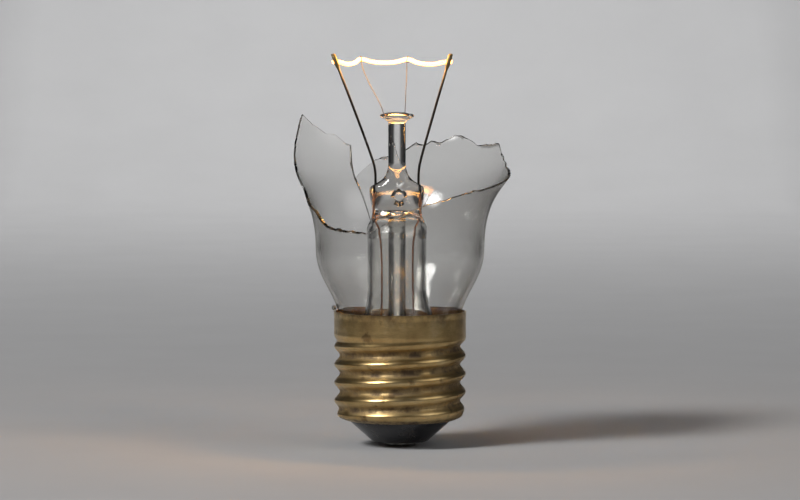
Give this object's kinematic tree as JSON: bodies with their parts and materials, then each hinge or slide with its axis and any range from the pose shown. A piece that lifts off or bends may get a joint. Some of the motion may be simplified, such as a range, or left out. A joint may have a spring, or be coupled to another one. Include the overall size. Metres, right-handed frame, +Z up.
{
  "type": "broken light bulb",
  "caption": "Clear screw-cap filament bulb with its globe smashed away, leaving a jagged glass cup and one shard round the stem, leads and bare filament",
  "frame": {"origin": "middle of the flat end of the solder on the centre contact, on the cap's axis", "axes": "+Z up along the cap's axis from the contact to the filament, +X to the right and -Y to the front as the picture sees it"},
  "size_m": [0.0437, 0.0438, 0.0784],
  "materials": {
    "clear_glass": "clear, slightly smoked",
    "stem_glass": "clear, fire-polished",
    "lead_nickel": "dulled by heat",
    "copper": "dull",
    "support_wire": "drawn",
    "hot_filament": "white-hot",
    "cap_brass": "rolled, tarnished",
    "contact_brass": "worn",
    "black_glass": "gloss",
    "solder": "dull",
    "cement": "matt"
  },
  "bodies": {
    "root": {"glass_envelope": "clear_glass", "glass_stem": "stem_glass", "left_inner_lead": "lead_nickel", "right_inner_lead": "lead_nickel", "left_seal_wire": "copper", "right_seal_wire": "copper", "left_outer_lead": "copper", "right_outer_lead": "copper", "fuse_wire": "copper", "contact_lead": "copper", "left_support": "support_wire", "right_support": "support_wire", "filament": "hot_filament", "screw_shell": "cap_brass", "centre_contact": "contact_brass", "cap_insulator": "black_glass", "contact_solder": "solder", "rim_solder": "solder", "basing_cement": "cement"}
  },
  "joints": []
}
